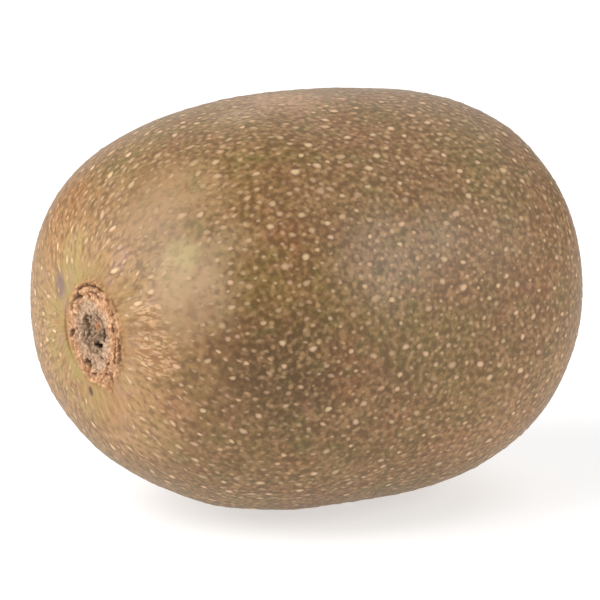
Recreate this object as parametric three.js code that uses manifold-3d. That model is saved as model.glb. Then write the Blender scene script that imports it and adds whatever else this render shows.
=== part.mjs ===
// A whole kiwi fruit lying on its side, as one solid: a barrel-shaped body with raised
// lenticels, the corky scar where the stem broke off, and the dried styles of the flower.
// Units are millimetres and +Z is up. The core runs along X, with the stem scar at -X and
// the blossom end at +X. The fruit rests on a small flat spot at z = 0.

import * as THREE from "three";
import { ConvexHull } from "three/addons/math/ConvexHull.js";
import { ImprovedNoise } from "three/addons/math/ImprovedNoise.js";
import { mergeVertices } from "three/addons/utils/BufferGeometryUtils.js";
import Module from "manifold-3d";

// Body: two half superellipsoids that meet at the widest ring. A squareness of 2 is an
// ellipse, and more is blunter.
const STEM_HALF = { length: 34, squareness: 2.5 };
const BLOSSOM_HALF = { length: 32, squareness: 2.9 };
const WIDTH = 55;
const HEIGHT = 50;
const RING_SQUARENESS = 2.2;
const SAG = 1.1; // how far the middle of the core hangs below its ends
const REST_DEPTH = 0.3; // how far the underside is pressed flat where it rests

// Stem scar: a woody core with pits, a groove round it, and a warty rim of cork. Its
// measures are radii from its middle, which lies at y, z on the stem end.
const SCAR = { y: -3, z: -0.8, reach: 8, shoulder: 13 }; // finely meshed to reach, creased to shoulder
const CORE = { radius: 2.7, depth: 0.35 };
const GROOVE = { radius: 4, width: 0.7, depth: 0.55 };
const RIM = { radius: 5.2, width: 0.95, height: 0.6 };
const RIM_WAVES = [
  { count: 3, height: 0.35, turn: 1 },
  { count: 7, height: 0.2, turn: 0 },
];
const CREASES = [
  { count: 9, height: 0.08, turn: 1 },
  { count: 14, height: 0.08, turn: 0 },
];
const WARTS = { height: 0.3, perMm: 1.3 };
const HOLLOW_DEPTH = 0.3; // of the shallow hollow that the scar sits in
// Pits between the core's fibres and along the groove: across and up from the scar's middle.
const PITS = [
  [-1.9, 0.3],
  [-0.8, -1.0],
  [1.7, 0.6],
  [4.1, 0.3],
  [1.2, -4.1],
  [3.0, 3.1],
  [-0.7, 4.4],
];
const PIT = { radius: 0.55, depth: 0.7 };

// Blossom end: a low brown button in a dimple, at y, z, with the dried styles round it.
const BUTTON = { y: 0.8, z: 0.4, reach: 4.6, height: 0.45 };
const BUTTON_RIM = { radius: 3.1, width: 0.9 };
const BUTTON_MIDDLE_WIDTH = 1.1;
const DIMPLE_DEPTH = 0.35;
const STYLES = { count: 26, length: 2.4, root: 0.9, tip: 0.16, foot: 0.36, sides: 4, lean: 0.8 };
const STYLE_RINGS = [1.7, 2.7]; // radii of the two rings that they stand in

// Lenticels: corky spots, long beside the stem scar and round elsewhere.
const LENTICELS = { count: 440, radius: 0.42, height: 0.18, sides: 5 };
const STRETCH = { most: 2.2, width: 16 }; // length over width beside the scar, and its reach
const DRAWS = 12; // places drawn for each lenticel, of which the roomiest is kept

// Mesh
const SKIN_POINTS = 1500;
const END_SPACING = 0.6; // of the points on the scar and the button
const SHOULDER_SPACING = 1.5;
const CLEARANCE = 0.75; // least distance from a plain skin point to any detail's point
const WELD = 1e-4;
const SKIN_COLOUR = 0x86693f;

const CORE_AXIS = new THREE.Vector3(1, 0, 0);
const noise = new ImprovedNoise();

/** A repeatable random number source from 0 to 1 (mulberry32). */
function seededRandom(seed) {
  return () => {
    seed = (seed + 0x6d2b79f5) | 0;
    let mixed = Math.imul(seed ^ (seed >>> 15), 1 | seed);
    mixed = (mixed + Math.imul(mixed ^ (mixed >>> 7), 61 | mixed)) ^ mixed;
    return ((mixed ^ (mixed >>> 14)) >>> 0) / 2 ** 32;
  };
}

/** A bump of height 1 at 0 that has faded out two widths away. */
const bump = (distance, width) => Math.exp(-((distance / width) ** 2));

/** The sum of a list of waves at an angle round an end. */
const waves = (list, angle) =>
  list.reduce((sum, { count, height, turn }) => sum + height * Math.cos(count * angle + turn), 0);

/** The half of the body that x lies in. */
const halfAt = (x) => (x < 0 ? STEM_HALF : BLOSSOM_HALF);

/** How far out across the core (y, z) lies, as a share of the widest ring. */
function ringShare(y, z) {
  const across = Math.abs(y / (WIDTH / 2)) ** RING_SQUARENESS;
  const up = Math.abs(z / (HEIGHT / 2)) ** RING_SQUARENESS;
  return (across + up) ** (1 / RING_SQUARENESS);
}

/** The point of the smooth skin that lies the same way from the core's middle. */
function ontoSkin(point) {
  const { length, squareness } = halfAt(point.x);
  const level = Math.abs(point.x / length) ** squareness + ringShare(point.y, point.z) ** squareness;
  return point.clone().multiplyScalar(level ** (-1 / squareness));
}

/** The point of the smooth skin over (y, z) at the stem end (side -1) or blossom end (1). */
function endPoint(side, y, z) {
  const { length, squareness } = halfAt(side);
  const x = side * length * (1 - ringShare(y, z) ** squareness) ** (1 / squareness);
  return new THREE.Vector3(x, y, z);
}

/** The outward normal of the smooth skin at one of its points. */
function skinNormal({ x, y, z }) {
  const { length, squareness } = halfAt(x);
  const slope = (value, size, power) => (Math.sign(value) * Math.abs(value / size) ** (power - 1)) / size;
  const ring = Math.max(ringShare(y, z), Number.EPSILON) ** (squareness - RING_SQUARENESS);
  return new THREE.Vector3(
    slope(x, length, squareness),
    ring * slope(y, WIDTH / 2, RING_SQUARENESS),
    ring * slope(z, HEIGHT / 2, RING_SQUARENESS),
  ).normalize();
}

/** Distance of a skin point from the middle of the stem scar. */
const scarDistance = ({ x, y, z }) => (x < 0 ? Math.hypot(y - SCAR.y, z - SCAR.z) : Infinity);

/** Distance of a skin point from the middle of the blossom end's button. */
const buttonDistance = ({ x, y, z }) => (x > 0 ? Math.hypot(y - BUTTON.y, z - BUTTON.z) : Infinity);

/** Height of the stem scar and the creases round it over the smooth skin. */
function scarRelief(point) {
  const distance = scarDistance(point);
  if (distance > SCAR.shoulder) return 0;
  const y = point.y - SCAR.y;
  const z = point.z - SCAR.z;
  const angle = Math.atan2(z, y);
  const warts = WARTS.height * noise.noise(y * WARTS.perMm, z * WARTS.perMm, 0);
  const rim = bump(distance - RIM.radius - waves(RIM_WAVES, angle), RIM.width) * (RIM.height + warts);
  const groove = bump(distance - GROOVE.radius, GROOVE.width) * GROOVE.depth;
  const core = distance < CORE.radius ? CORE.depth + warts / 2 : 0;
  const pits = PITS.map(([across, up]) => PIT.depth * bump(Math.hypot(y - across, z - up), PIT.radius));
  const hollow = bump(distance, SCAR.reach) * HOLLOW_DEPTH;
  const start = THREE.MathUtils.smoothstep(distance, RIM.radius, SCAR.reach);
  const end = 1 - THREE.MathUtils.smoothstep(distance, SCAR.reach, SCAR.shoulder);
  return rim - groove - core - Math.max(...pits) - hollow + start * end * waves(CREASES, angle);
}

/** Height of the blossom end's button and dimple over the smooth skin. */
function buttonRelief(point) {
  const distance = buttonDistance(point);
  const rim = bump(distance - BUTTON_RIM.radius, BUTTON_RIM.width);
  const middle = bump(distance, BUTTON_MIDDLE_WIDTH);
  return (rim + middle) * BUTTON.height - bump(distance, BUTTON.reach) * DIMPLE_DEPTH;
}

/** The finished surface point over a point of the smooth skin. */
function finished(point, height = 0) {
  const rise = height + scarRelief(point) + buttonRelief(point);
  const out = point.clone().addScaledVector(skinNormal(point), rise);
  out.z -= SAG * (1 - (out.x / STEM_HALF.length) ** 2);
  out.z = Math.max(out.z, REST_DEPTH - SAG - HEIGHT / 2);
  return out;
}

/** Points over a disc at one end: rings round (y, z) from one radius to another. */
function discPoints(side, { y, z }, inner, outer, spacing) {
  const points = [];
  for (let radius = inner; radius <= outer; radius += spacing) {
    const count = Math.max(1, Math.round((2 * Math.PI * radius) / spacing));
    const start = points.length % 2 ? 0 : 0.5;
    for (let i = 0; i < count; i++) {
      const angle = (2 * Math.PI * (i + start)) / count;
      points.push(endPoint(side, y + radius * Math.cos(angle), z + radius * Math.sin(angle)));
    }
  }
  return points;
}

/** A random direction, even over the sphere. */
function randomDirection(random) {
  const x = 2 * random() - 1;
  const angle = 2 * Math.PI * random();
  const across = Math.sqrt(1 - x * x);
  return new THREE.Vector3(x, across * Math.cos(angle), across * Math.sin(angle));
}

/** Places of the lenticels: each the roomiest of several draws, so that they spread evenly. */
function lenticelPlaces(random) {
  const places = [];
  while (places.length < LENTICELS.count) {
    let best = null;
    let bestRoom = 0;
    for (let draw = 0; draw < DRAWS; draw++) {
      const place = ontoSkin(randomDirection(random));
      if (scarDistance(place) < SCAR.reach + 1 || buttonDistance(place) < BUTTON.reach + 1) continue;
      const room = Math.min(...places.map((other) => other.distanceTo(place)));
      if (room > bestRoom) [best, bestRoom] = [place, room];
    }
    if (best) places.push(best);
  }
  return places;
}

/** One lenticel: its raised middle and the ring of points at its foot. */
function lenticel(place, random) {
  const normal = skinNormal(place);
  const along = CORE_AXIS.clone().projectOnPlane(normal).normalize();
  const across = normal.clone().cross(along);
  const size = LENTICELS.radius * THREE.MathUtils.lerp(0.75, 1.25, random());
  const long = size * THREE.MathUtils.lerp(1, STRETCH.most, bump(scarDistance(place), STRETCH.width));
  const turn = random() * Math.PI;
  const foot = Array.from({ length: LENTICELS.sides }, (_, i) => {
    const angle = turn + (2 * Math.PI * i) / LENTICELS.sides;
    const point = place.clone().addScaledVector(along, long * Math.cos(angle));
    return { point: ontoSkin(point.addScaledVector(across, size * Math.sin(angle))), height: 0 };
  });
  return [{ point: place, height: LENTICELS.height }, ...foot];
}

/** Evenly spread points over the whole smooth skin, by the golden angle. */
function skinPoints() {
  const golden = Math.PI * (3 - Math.sqrt(5));
  return Array.from({ length: SKIN_POINTS }, (_, i) => {
    const x = 1 - (2 * i + 1) / SKIN_POINTS;
    const across = Math.sqrt(1 - x * x);
    return ontoSkin(new THREE.Vector3(x, across * Math.cos(golden * i), across * Math.sin(golden * i)));
  });
}

/** A closed surface through the points: their directions' convex hull gives the triangles. */
function closedSurface(seeds) {
  const directions = seeds.map(({ point }) => point.clone().normalize());
  const indexOf = new Map(directions.map((direction, i) => [direction, i]));
  const hull = new ConvexHull().setFromPoints(directions);
  const corners = (face) => [0, 1, 2].map((i) => indexOf.get(face.getEdge(i).head().point));
  const geometry = new THREE.BufferGeometry();
  geometry.setFromPoints(seeds.map(({ point, height }) => finished(point, height)));
  geometry.setIndex(hull.faces.flatMap(corners));
  return geometry;
}

/** The body with its scar, button and lenticels. */
function body() {
  const random = seededRandom(20);
  const flush = (point) => ({ point, height: 0 });
  const details = [
    ...discPoints(-1, SCAR, 0, SCAR.reach, END_SPACING).map(flush),
    ...discPoints(1, BUTTON, 0, BUTTON.reach, END_SPACING).map(flush),
    ...lenticelPlaces(random).flatMap((place) => lenticel(place, random)),
  ];
  const isClear = (point) => details.every((other) => other.point.distanceTo(point) > CLEARANCE);
  const shoulder = discPoints(-1, SCAR, SCAR.reach + 1, SCAR.shoulder, SHOULDER_SPACING);
  details.push(...shoulder.filter(isClear).map(flush));
  return closedSurface([...details, ...skinPoints().filter(isClear).map(flush)]);
}

/** The dried styles: thin tapered stubs in two rings, leaning out all round the button. */
function styles() {
  const random = seededRandom(5);
  return Array.from({ length: STYLES.count }, (_, i) => {
    const angle = (2 * Math.PI * (i + 0.3 * random())) / STYLES.count;
    const radius = STYLE_RINGS[i % 2];
    const out = new THREE.Vector3(0, Math.cos(angle), Math.sin(angle));
    const lean = STYLES.lean * (radius / STYLE_RINGS[1]) * THREE.MathUtils.lerp(0.8, 1.2, random());
    const heading = CORE_AXIS.clone().multiplyScalar(Math.cos(lean)).addScaledVector(out, Math.sin(lean));
    const root = finished(endPoint(1, BUTTON.y + radius * out.y, BUTTON.z + radius * out.z));
    const length = STYLES.length * THREE.MathUtils.lerp(0.7, 1, random()) + STYLES.root;
    const stub = new THREE.CylinderGeometry(STYLES.tip, STYLES.foot, length, STYLES.sides);
    stub.applyQuaternion(new THREE.Quaternion().setFromUnitVectors(THREE.Object3D.DEFAULT_UP, heading));
    const middle = root.addScaledVector(heading, length / 2 - STYLES.root);
    return stub.translate(middle.x, middle.y, middle.z);
  });
}

const wasm = await Module();
wasm.setup();

/** A closed geometry as a solid for joining. */
function solid(geometry) {
  const bare = new THREE.BufferGeometry().setAttribute("position", geometry.getAttribute("position"));
  bare.setIndex(geometry.index);
  const merged = mergeVertices(bare, WELD);
  return new wasm.Manifold(
    new wasm.Mesh({
      numProp: 3,
      vertProperties: new Float32Array(merged.getAttribute("position").array),
      triVerts: new Uint32Array(merged.index.array),
    }),
  );
}

/** The geometries joined into one closed geometry. */
function joined(geometries) {
  const mesh = geometries.map(solid).reduce((whole, piece) => whole.add(piece)).getMesh();
  const geometry = new THREE.BufferGeometry();
  geometry.setAttribute("position", new THREE.BufferAttribute(mesh.vertProperties, 3));
  return geometry.setIndex(new THREE.BufferAttribute(mesh.triVerts, 1));
}

/** The whole fruit, moved so that the middle of its box's underside is the origin. */
function fruitGeometry() {
  const geometry = joined([body(), ...styles()]);
  geometry.computeBoundingBox();
  const { min, max } = geometry.boundingBox;
  geometry.translate(-(min.x + max.x) / 2, -(min.y + max.y) / 2, -min.z);
  geometry.computeVertexNormals();
  return geometry;
}

const skin = new THREE.MeshStandardMaterial({ color: SKIN_COLOUR, roughness: 0.55, metalness: 0 });
const fruit = new THREE.Mesh(fruitGeometry(), skin);
fruit.name = "kiwi_fruit";

const kiwi = new THREE.Group();
kiwi.add(fruit);

export default kiwi;
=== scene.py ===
"""A whole kiwi fruit lying on its side: its skin, lenticels, stem scar and dried styles.

The classes hold their sizes in millimetres, about the middle of the fruit's core, with the
stem end at -X and +Z up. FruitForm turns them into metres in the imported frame.
"""

import logging
import math
from dataclasses import dataclass
from enum import Enum
from typing import Any, Callable, Union

import bpy
import numpy as np
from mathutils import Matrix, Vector, noise

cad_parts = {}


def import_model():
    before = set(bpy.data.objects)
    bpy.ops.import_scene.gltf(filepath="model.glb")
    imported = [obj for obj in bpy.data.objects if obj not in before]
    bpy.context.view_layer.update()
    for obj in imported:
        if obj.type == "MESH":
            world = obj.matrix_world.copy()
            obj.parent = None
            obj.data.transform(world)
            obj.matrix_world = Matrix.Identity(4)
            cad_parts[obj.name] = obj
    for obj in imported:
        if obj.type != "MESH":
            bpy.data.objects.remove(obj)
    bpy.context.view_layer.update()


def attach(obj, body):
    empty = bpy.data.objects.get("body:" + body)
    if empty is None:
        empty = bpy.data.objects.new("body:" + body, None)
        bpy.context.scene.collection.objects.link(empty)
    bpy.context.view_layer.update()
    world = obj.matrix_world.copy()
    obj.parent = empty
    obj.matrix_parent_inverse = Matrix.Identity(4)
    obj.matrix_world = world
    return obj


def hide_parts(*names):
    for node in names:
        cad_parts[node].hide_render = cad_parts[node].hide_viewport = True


LOG = logging.getLogger("kiwi")
MM = 0.001
NODE = "kiwi_fruit"
BODY = "root"
CORE_AXIS = np.array([1.0, 0.0, 0.0])
OUT_OF_REACH = 999.0
Array = np.ndarray
Colour = tuple[float, float, float, float]
Triple = tuple[float, float, float]
Span = tuple[float, float]


class End(Enum):
    """The two ends of the core."""

    STEM = -1
    BLOSSOM = 1


class Slot(Enum):
    """The record's material slots."""

    SKIN = "kiwi_skin"
    CORK = "stem_cork"
    STYLE = "dried_style"


def colour(red: int, green: int, blue: int) -> Colour:
    """A display colour as the shader's linear one.

    Args:
        red: Red, 0 to 255.
        green: Green, 0 to 255.
        blue: Blue, 0 to 255.

    Returns:
        The linear colour with full alpha.
    """
    shares = (red / 255, green / 255, blue / 255)
    linear = [s / 12.92 if s <= 10 / 255 else ((s + 0.055) / 1.055) ** 2.4 for s in shares]
    return (linear[0], linear[1], linear[2], 1.0)


def ease(value: Array, low: float, high: float) -> Array:
    """A smooth step.

    Args:
        value: Numbers to grade.
        low: Where the step starts, at 0.
        high: Where it ends, at 1. It may be less than low.

    Returns:
        The grades, 0 to 1.
    """
    share = np.clip((value - low) / (high - low), 0, 1)
    return share * share * (3 - 2 * share)


def bump(distance: Array, width: float) -> Array:
    """A bump of height 1 at 0 that has faded out two widths away."""
    return np.exp(-((distance / width) ** 2))


def unit(vectors: Array) -> Array:
    """The vectors at length 1."""
    return vectors / np.linalg.norm(vectors, axis=-1, keepdims=True)


def waver(across: Array, up: Array, per_mm: float, shift: Triple) -> Array:
    """Smooth noise about 0 at flat places.

    Args:
        across: The places' first measure, in millimetres.
        up: Their second measure.
        per_mm: Lumps a millimetre.
        shift: Moves the noise, so that no two wavers match.

    Returns:
        The noise at each place.
    """
    places = (Vector((a, u, 0.0)) * per_mm + Vector(shift) for a, u in zip(across, up))
    return np.array([noise.noise(place) for place in places])


# ---------------------------------------------------------------------------------------
# Form
# ---------------------------------------------------------------------------------------


@dataclass(frozen=True)
class FruitForm:
    """The smooth outer form: two half superellipsoids that meet at the widest ring.

    A squareness of 2 is an ellipse, and more is blunter. Lengths are in millimetres.
    """

    stem_length: float = 34.0
    blossom_length: float = 32.0
    width: float = 55.0
    height: float = 50.0
    stem_squareness: float = 2.5
    blossom_squareness: float = 2.9
    ring_squareness: float = 2.2
    sag: float = 1.1
    rest_depth: float = 0.3
    middle_x: float = 0.23
    swells: int = 26
    swell_seed: int = 11
    swell_height: float = 0.022
    swell_lengths: Span = (7.0, 30.0)
    usual_swell: float = 18.0
    last_phase: float = 6.3

    @property
    def middle(self) -> Vector:
        """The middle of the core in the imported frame, in metres."""
        return Vector((self.middle_x, 0, self.height / 2 + self.sag - self.rest_depth)) * MM

    def half(self, x: Array) -> tuple[Array, Array]:
        """The length and squareness of the half that each x lies in."""
        length = np.where(x < 0, self.stem_length, self.blossom_length)
        return length, np.where(x < 0, self.stem_squareness, self.blossom_squareness)

    def ring_share(self, y: Array, z: Array) -> Array:
        """How far out across the core (y, z) lies, as a share of the widest ring.

        Args:
            y: Places across the core.
            z: Places up from it.

        Returns:
            The shares.
        """
        across = np.abs(y / (self.width / 2)) ** self.ring_squareness
        up = np.abs(z / (self.height / 2)) ** self.ring_squareness
        return np.maximum((across + up) ** (1 / self.ring_squareness), 1e-9)

    def onto(self, points: Array) -> Array:
        """The points of the smooth skin that lie the same way from the core's middle.

        Args:
            points: Any points about the core's middle.

        Returns:
            Points of the smooth skin.
        """
        length, squareness = self.half(points[:, 0])
        share = self.ring_share(points[:, 1], points[:, 2])
        level = np.abs(points[:, 0] / length) ** squareness + share**squareness
        return points * (level ** (-1 / squareness))[:, None]

    def at_end(self, end: End, y: Array, z: Array) -> Array:
        """The points of the smooth skin over (y, z) at one end.

        Args:
            end: The end of the core.
            y: Places across the core.
            z: Places up from it.

        Returns:
            The points.
        """
        length, squareness = self.half(np.full(y.shape, float(end.value)))
        x = end.value * length * (1 - self.ring_share(y, z) ** squareness) ** (1 / squareness)
        return np.stack([x, y, z], axis=1)

    def normals(self, points: Array) -> Array:
        """The outward normals of the smooth skin at its points.

        Args:
            points: Points of the smooth skin.

        Returns:
            The normals, of length 1.
        """
        length, squareness = self.half(points[:, 0])
        ring = self.ring_share(points[:, 1], points[:, 2]) ** (squareness - self.ring_squareness)

        def slope(value: Array, size: Union[Array, float], power: Union[Array, float]) -> Array:
            """The slope along one axis."""
            return np.sign(value) * np.abs(value / size) ** (power - 1) / size

        across = ring * slope(points[:, 1], self.width / 2, self.ring_squareness)
        up = ring * slope(points[:, 2], self.height / 2, self.ring_squareness)
        return unit(np.stack([slope(points[:, 0], length, squareness), across, up], axis=1))

    def swell(self, points: Array) -> Array:
        """Height of the skin's slight unevenness: waves of many lengths and headings.

        Args:
            points: Points of the smooth skin.

        Returns:
            The heights.
        """
        draw = np.random.default_rng(self.swell_seed)
        total = np.zeros(len(points))
        for _ in range(self.swells):
            length = draw.uniform(*self.swell_lengths)
            heading = unit(draw.normal(size=3)) * (2 * math.pi / length)
            wave = np.sin(points @ heading + draw.uniform(0, self.last_phase))
            total += self.swell_height * (length / self.usual_swell) * wave
        return total

    def settle(self, points: Array) -> Array:
        """Points about the core in millimetres, sagged and turned to metres in the frame.

        Args:
            points: Points about the core's middle, in millimetres.

        Returns:
            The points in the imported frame.
        """
        sagged = points.copy()
        sagged[..., 2] -= self.sag * (1 - (points[..., 0] / self.stem_length) ** 2)
        return sagged * MM + np.array(self.middle)

    def place(self, points: Array, heights: Array) -> Array:
        """Points of the smooth skin, raised by heights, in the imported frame.

        Args:
            points: Points of the smooth skin, in millimetres about the core's middle.
            heights: How far each stands out of the smooth skin, in millimetres.

        Returns:
            The placed points in metres, none of them under the flat that the fruit rests on.
        """
        out = self.settle(points + self.normals(points) * heights[:, None])
        out[:, 2] = np.maximum(out[:, 2], 0)
        return out


@dataclass(frozen=True)
class Spot:
    """A round place on one end, in millimetres across and up from the core's axis."""

    end: End
    y: float
    z: float

    def distance(self, points: Array) -> Array:
        """Distance of points from the spot's middle, and far at the other end."""
        away = np.hypot(points[:, 1] - self.y, points[:, 2] - self.z)
        return np.where(points[:, 0] * self.end.value > 0, away, OUT_OF_REACH)


@dataclass(frozen=True)
class SkinPlace:
    """A place of the skin, such as one rubbed smooth, one of painted sheen or a nick: round, unless it has a
    shape.
    """

    middle: Triple
    reach: float
    edge: float = 0.3
    shape: Triple = (1.0, 1.0, 1.0)

    def share(self, points: Array) -> Array:
        """How far each point is inside the place, from 0 at its edge to 1."""
        away = np.linalg.norm((points - np.array(self.middle)) * np.array(self.shape), axis=1)
        return ease(away, self.reach, self.edge * self.reach)


FORM = FruitForm()
RUBBED_AND_SHEEN = (  # Where grain and lenticels are faint: the first three places are painted highlight, fading the texture under the key light's sheen; the others are rubbed smooth.
    SkinPlace((-27.5, -8.5, 15.5), 8.0),
    SkinPlace((-28.5, -15.0, 8.5), 5.5),
    SkinPlace((-29.7, -15.7, 4.2), 5.0),
    SkinPlace((-33.0, -5.0, -8.0), 6.5),
    SkinPlace((12.0, 21.0, 10.0), 9.0),
    SkinPlace((-22.0, 15.0, -12.0), 8.0),
)
STREAKED = (  # Where the thin strokes beside the scar lie.
    SkinPlace((-29.0, 3.0, 14.0), 11.0, 0.5),
    SkinPlace((-32.0, -12.6, 0.0), 5.0, 0.5),
)
NICK = SkinPlace((-33.2, -1.6, -7.9), 0.75, 0.5, (0.6, 1.3, 0.9))
STEM_SPOT = Spot(End.STEM, -3.0, -0.8)
BLOSSOM_SPOT = Spot(End.BLOSSOM, 0.8, 0.4)


# ---------------------------------------------------------------------------------------
# Mesh work
# ---------------------------------------------------------------------------------------


class Bench:
    """Small steps of mesh work that every piece shares."""

    @staticmethod
    def clear() -> None:
        """Deselects every object."""
        bpy.ops.object.select_all(action="DESELECT")

    @staticmethod
    def take(name: str) -> bpy.types.Object:
        """The primitive that was just added, under its own name.

        Args:
            name: Its name.

        Returns:
            The piece.
        """
        piece = bpy.context.active_object
        piece.name = name
        piece.data.name = name
        return piece

    @staticmethod
    def read(piece: bpy.types.Object) -> Array:
        """The piece's vertices as rows.

        Args:
            piece: The piece.

        Returns:
            One row of three numbers a vertex.
        """
        flat = np.empty(len(piece.data.vertices) * 3)
        piece.data.vertices.foreach_get("co", flat)
        return flat.reshape(-1, 3)

    @staticmethod
    def write(piece: bpy.types.Object, points: Array) -> None:
        """Moves the piece's vertices to the rows of points."""
        piece.data.vertices.foreach_set("co", points.astype(np.float32).ravel())
        piece.data.update()

    @staticmethod
    def mark(piece: bpy.types.Object, name: str, values: Array) -> None:
        """Stores one number a vertex on the piece, for its finish to read."""
        attribute = piece.data.attributes.new(name, "FLOAT", "POINT")
        attribute.data.foreach_set("value", values.astype(np.float32))

    @staticmethod
    def on_faces(
        piece: bpy.types.Object, test: Callable[[Array], Array], act: Callable[..., Any], **settings: Any
    ) -> None:
        """Selects the faces whose middles pass a test, and acts on them in edit mode.

        Args:
            piece: The piece, which is the active object.
            test: Takes the faces' middles and returns which of them to select.
            act: The operator to run on the selected faces.
            **settings: The operator's settings.
        """
        middles = np.empty(len(piece.data.polygons) * 3)
        piece.data.polygons.foreach_get("center", middles)
        chosen = test(middles.reshape(-1, 3))
        bpy.ops.object.mode_set(mode="EDIT")
        bpy.ops.mesh.select_mode(type="FACE")
        bpy.ops.mesh.select_all(action="DESELECT")
        bpy.ops.object.mode_set(mode="OBJECT")
        piece.data.polygons.foreach_set("select", chosen)
        bpy.ops.object.mode_set(mode="EDIT")
        act(**settings)
        bpy.ops.object.mode_set(mode="OBJECT")

    @staticmethod
    def disc(name: str, reach: float, spacing: float) -> bpy.types.Object:
        """Models a flat disc of small squares, with a radius of reach.

        Args:
            name: The disc's name.
            reach: Its radius.
            spacing: The squares' size.

        Returns:
            The disc.
        """
        Bench.clear()
        steps = int(2 * reach / spacing)
        bpy.ops.mesh.primitive_grid_add(x_subdivisions=steps, y_subdivisions=steps, size=2 * reach)
        piece = Bench.take(name)
        cut = bpy.ops.mesh.delete
        Bench.on_faces(piece, lambda middles: np.hypot(*middles.T[:2]) > reach, cut, type="FACE")
        return piece

    @staticmethod
    def open_face(name: str, corners: int) -> bpy.types.Object:
        """Adds one round face of radius 1, and leaves it selected in edit mode.

        Args:
            name: The piece's name.
            corners: The face's corners.

        Returns:
            The piece, in edit mode.
        """
        Bench.clear()
        bpy.ops.mesh.primitive_circle_add(vertices=corners, radius=1, fill_type="NGON")
        piece = Bench.take(name)
        bpy.ops.object.mode_set(mode="EDIT")
        bpy.ops.mesh.select_mode(type="FACE")
        bpy.ops.mesh.select_all(action="SELECT")
        return piece

    @staticmethod
    def copies(name: str, template: bpy.types.Object, points: Array) -> bpy.types.Object:
        """One mesh of many copies of a template, each with its own vertices.

        Args:
            name: The new piece's name.
            template: The modelled shape whose faces are repeated. It is removed.
            points: The copies' vertices, as copies by vertices by 3.

        Returns:
            The new piece.
        """
        count, size = points.shape[:2]
        faces = [np.array(face.vertices) for face in template.data.polygons]
        starts = np.arange(count) * size
        corners = (starts[:, None] + np.concatenate(faces)[None, :]).ravel()
        lengths = np.tile([len(face) for face in faces], count)
        mesh = bpy.data.meshes.new(name)
        mesh.vertices.add(count * size)
        mesh.vertices.foreach_set("co", points.astype(np.float32).ravel())
        mesh.loops.add(len(corners))
        mesh.loops.foreach_set("vertex_index", corners)
        mesh.polygons.add(len(lengths))
        mesh.polygons.foreach_set("loop_start", np.concatenate([[0], np.cumsum(lengths)[:-1]]))
        mesh.polygons.foreach_set("loop_total", lengths)
        mesh.update(calc_edges=True)
        mesh.validate()
        bpy.data.objects.remove(template)
        piece = bpy.data.objects.new(name, mesh)
        bpy.context.scene.collection.objects.link(piece)
        return piece

    @staticmethod
    def finish(piece: bpy.types.Object, material: bpy.types.Material, slot: Slot) -> None:
        """Shades, dresses and fastens a finished piece.

        Args:
            piece: The piece.
            material: Its finish.
            slot: The record's slot that it stands for; not used.
        """
        piece.data.polygons.foreach_set("use_smooth", np.ones(len(piece.data.polygons), bool))
        piece.data.update()
        piece.data.materials.clear()
        piece.data.materials.append(material)
        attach(piece, BODY)
        LOG.info("%s: %d faces", piece.name, len(piece.data.polygons))


# ---------------------------------------------------------------------------------------
# Shader work
# ---------------------------------------------------------------------------------------


def operator(operation: str, turned: bool = False) -> Callable[["Value", "Operand"], "Value"]:
    """Writes one of Value's operators, which adds a Math node.

    Args:
        operation: The node's operation.
        turned: Whether the value is the second operand.

    Returns:
        The operator's method.
    """

    def apply(value: "Value", other: "Operand") -> "Value":
        """Works the value and the other operand out together."""
        operands = (other, value) if turned else (value, other)
        return value.recipe.maths(operation, *operands)

    return apply


class Value:
    """A number on its way through a shader, on which sums are written as expressions."""

    __add__ = __radd__ = operator("ADD")
    __sub__ = operator("SUBTRACT")
    __rsub__ = operator("SUBTRACT", turned=True)
    __mul__ = __rmul__ = operator("MULTIPLY")
    __truediv__ = operator("DIVIDE")

    def __init__(self, recipe: "Recipe", socket: bpy.types.NodeSocket) -> None:
        """Wraps one output socket of a recipe's node."""
        self.recipe = recipe
        self.socket = socket


Operand = Union[Value, float, Colour, Triple]


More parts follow.
